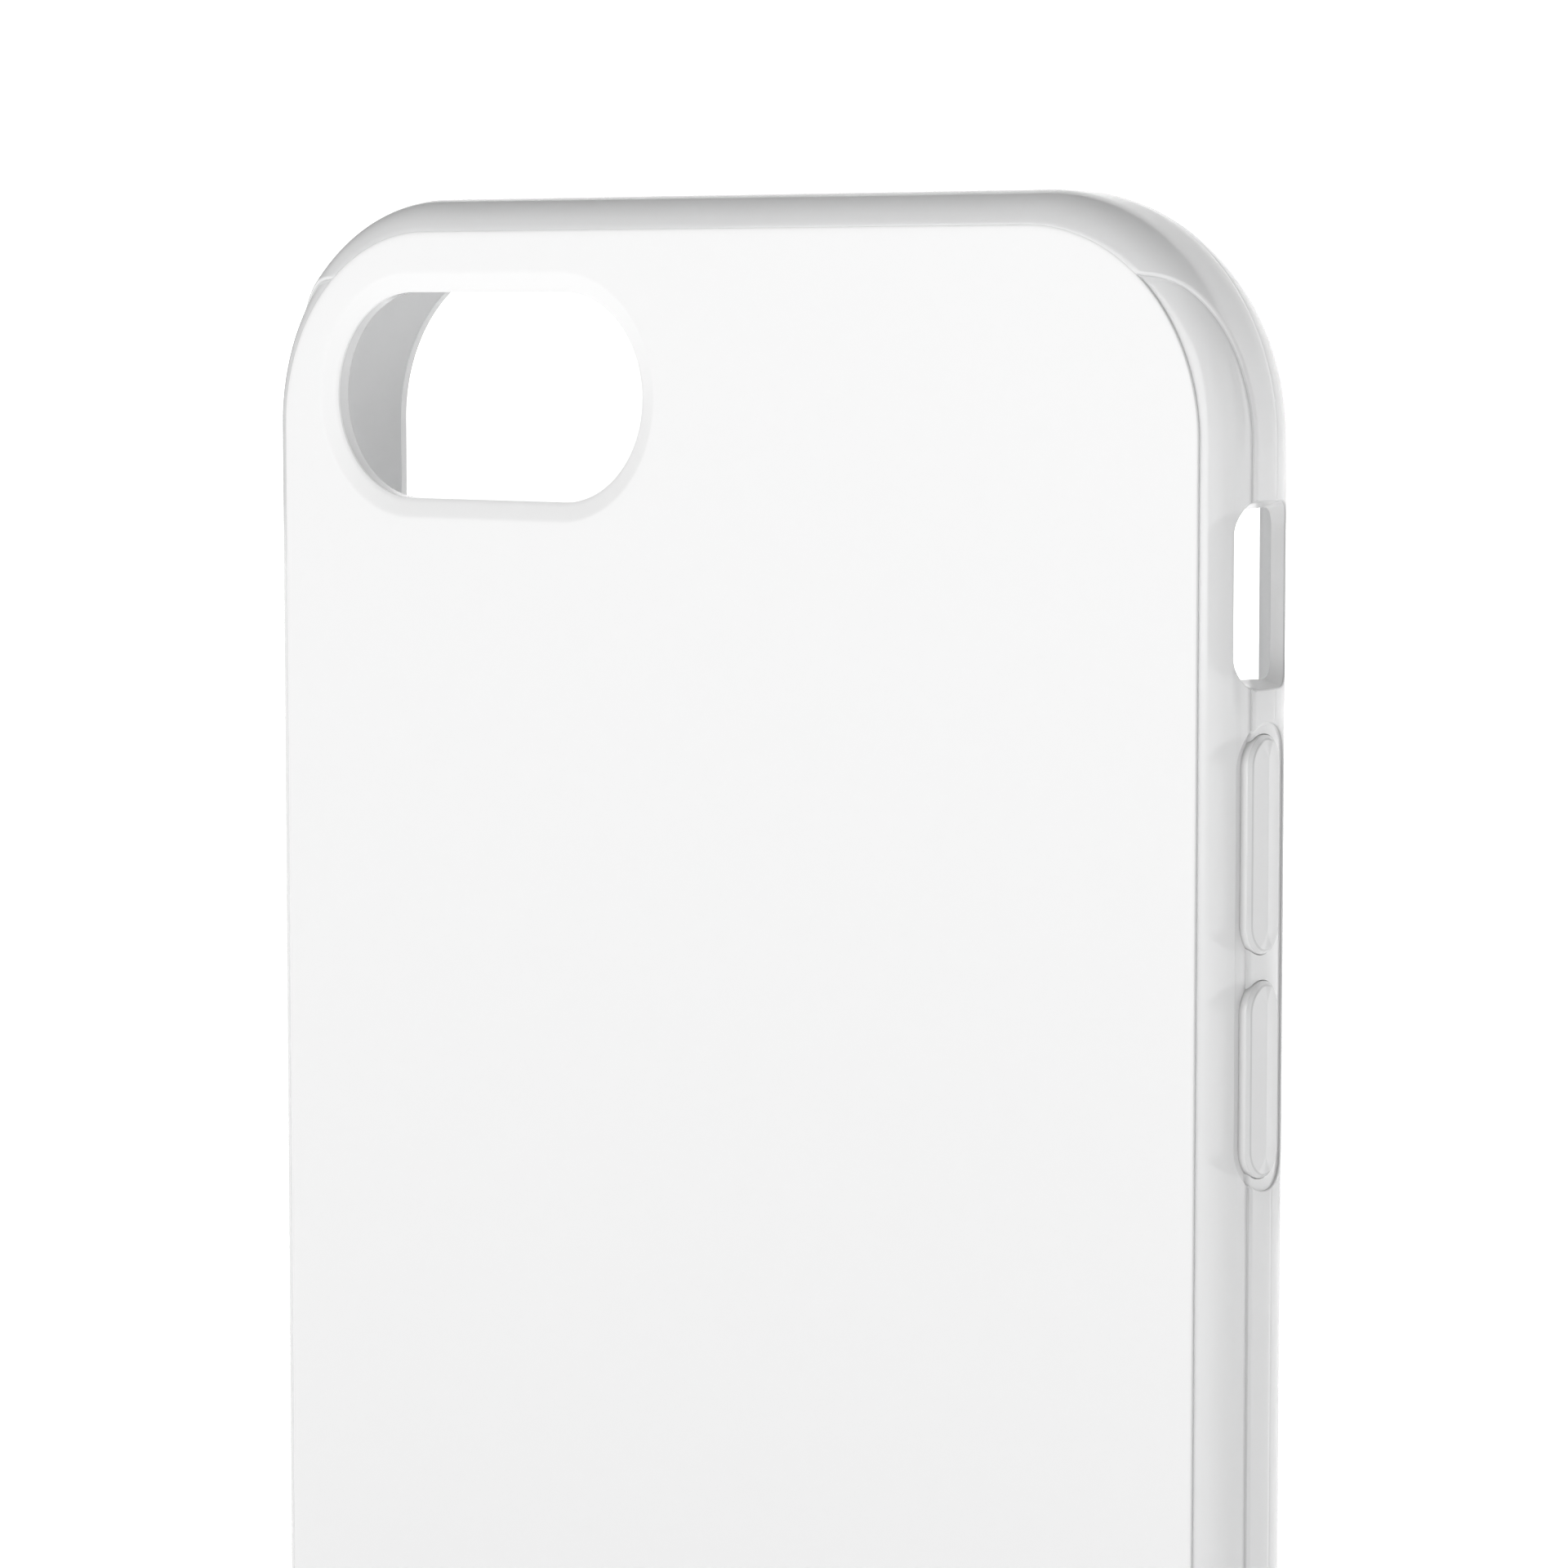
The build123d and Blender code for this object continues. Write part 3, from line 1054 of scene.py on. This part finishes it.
def pale_sweep():
    """A pale floor that rises behind the case in one curve."""
    width, front, bend, wall = 6.0, -3.0, 1.6, 3.0
    radius, steps = 0.8, 24
    outline = [(front, 0.0), (bend, 0.0)]
    for step in range(1, steps + 1):
        turn = QUARTER * step / steps
        outline.append((bend + radius * math.sin(turn), radius * (1 - math.cos(turn))))
    outline.append((bend + radius, wall))
    points = [(side * width / 2, y, z) for y, z in outline for side in (-1, 1)]
    faces = [(2 * i, 2 * i + 1, 2 * i + 3, 2 * i + 2) for i in range(len(outline) - 1)]
    data = bpy.data.meshes.new("pale_sweep")
    data.from_pydata(points, [], faces)
    data.shade_smooth()
    sweep = bpy.data.objects.new("pale_sweep", data)
    bpy.context.scene.collection.objects.link(sweep)
    data.materials.append(pale_paper())


def pale_paper():
    """White paper that glows more away from the case: its dimmer glow near the case is a painted soft shade
    round it, and keeps the case's shadow soft and near.
    """
    near, far = 0.06, 0.26
    # The weaker glow near the case is painted shade round it.
    near_glow, far_glow = 0.24, 0.76
    material, shader = new_material("pale_paper")
    shader.inputs["Base Color"].default_value = (0.93, 0.93, 0.93, 1.0)
    shader.inputs["Roughness"].default_value = 0.9
    shader.inputs["Emission Color"].default_value = (1.0, 1.0, 1.0, 1.0)
    tree = material.node_tree
    place = tree.nodes.new("ShaderNodeTexCoord")
    distance = tree.nodes.new("ShaderNodeVectorMath")
    distance.operation = "LENGTH"
    tree.links.new(place.outputs["Object"], distance.inputs[0])
    glow = tree.nodes.new("ShaderNodeMapRange")
    glow.interpolation_type = "SMOOTHSTEP"
    glow.inputs["From Min"].default_value = near
    glow.inputs["From Max"].default_value = far
    glow.inputs["To Min"].default_value = near_glow
    glow.inputs["To Max"].default_value = far_glow
    tree.links.new(distance.outputs["Value"], glow.inputs["Value"])
    tree.links.new(glow.outputs["Result"], shader.inputs["Emission Strength"])
    return material


def white_surround(strength):
    """White all round: a soft light on the case, and plain white where it is looked at directly."""
    world = bpy.data.worlds.new("white_surround")
    world.use_nodes = True
    tree = world.node_tree
    background = tree.nodes["Background"]
    background.inputs["Color"].default_value = (1.0, 1.0, 1.0, 1.0)
    path = tree.nodes.new("ShaderNodeLightPath")
    shown = tree.nodes.new("ShaderNodeMapRange")
    shown.inputs["To Min"].default_value = strength
    shown.inputs["To Max"].default_value = 1.0
    tree.links.new(path.outputs["Is Camera Ray"], shown.inputs["Value"])
    tree.links.new(shown.outputs["Result"], background.inputs["Strength"])
    return world


def place_camera(studio):
    """The camera, turned round to the switch side and looking slightly down."""
    data = bpy.data.cameras.new("camera")
    data.lens = studio.lens
    data.sensor_width = 36.0
    data.clip_start = 0.01
    camera = bpy.data.objects.new("camera", data)
    bpy.context.scene.collection.objects.link(camera)
    azimuth, elevation = studio.azimuth, studio.elevation
    right = Vector((math.cos(azimuth), math.sin(azimuth), 0.0))
    back = Vector((
        math.sin(azimuth) * math.cos(elevation),
        -math.cos(azimuth) * math.cos(elevation),
        math.sin(elevation),
    ))
    aim = Vector((0.0, BACK, studio.aim_height)) + studio.aim_aside * right
    camera.location = aim + studio.distance * back
    camera.rotation_mode = "QUATERNION"
    camera.rotation_quaternion = back.to_track_quat("Z", "Y")
    bpy.context.scene.camera = camera


class PHONECASE_OT_stage(bpy.types.Operator):
    """Set the floor, the lights and the camera"""

    bl_idname = "phone_case.stage"
    bl_label = "Stage"

    def execute(self, context):
        pale_sweep()
        for name, (place, size, watts) in SOFT_BOXES.items():
            area_light(name, place, (0.0, 0.0, MIDDLE), size, watts)
        context.scene.world = white_surround(SURROUND_LIGHT)
        context.scene.view_settings.view_transform = "Standard"
        place_camera(context.scene.phone_case_studio)
        return {"FINISHED"}


SETTINGS = {
    "phone_case_shell": PhoneCaseShellSizes,
    "phone_case_print": PhoneCasePrintSizes,
    "phone_case_openings": PhoneCaseOpeningSizes,
    "phone_case_pads": PhoneCasePadSizes,
    "phone_case_finish": PhoneCaseFinish,
    "phone_case_studio": PhoneCaseStudio,
}
OPERATORS = (
    PHONECASE_OT_clear_shell,
    PHONECASE_OT_back_print,
    PHONECASE_OT_press_pads,
    PHONECASE_OT_stage,
)


class PHONECASE_PT_panel(bpy.types.Panel):
    """Lists the case's sizes, finishes and steps"""

    bl_idname = "PHONECASE_PT_panel"
    bl_label = "Phone Case"
    bl_space_type = "VIEW_3D"
    bl_region_type = "UI"
    bl_category = "Phone Case"

    def draw(self, context):
        for name, group in SETTINGS.items():
            settings = getattr(context.scene, name)
            box = self.layout.box()
            box.label(text=group.__doc__)
            for setting in group.__annotations__:
                box.prop(settings, setting)
        for operator in OPERATORS:
            self.layout.operator(operator.bl_idname)


CLASSES = (*SETTINGS.values(), *OPERATORS, PHONECASE_PT_panel)


def register():
    """Adds the settings, the steps and the panel."""
    for cls in CLASSES:
        bpy.utils.register_class(cls)
    for name, group in SETTINGS.items():
        setattr(bpy.types.Scene, name, bpy.props.PointerProperty(type=group))


def unregister():
    """Takes the settings, the steps and the panel away again."""
    for name in SETTINGS:
        delattr(bpy.types.Scene, name)
    for cls in reversed(CLASSES):
        bpy.utils.unregister_class(cls)


def main():
    register()
    bpy.ops.phone_case.clear_shell()
    bpy.ops.phone_case.back_print()
    bpy.ops.phone_case.press_pads()
    bpy.ops.phone_case.stage()


if __name__ == "__main__":
    main()
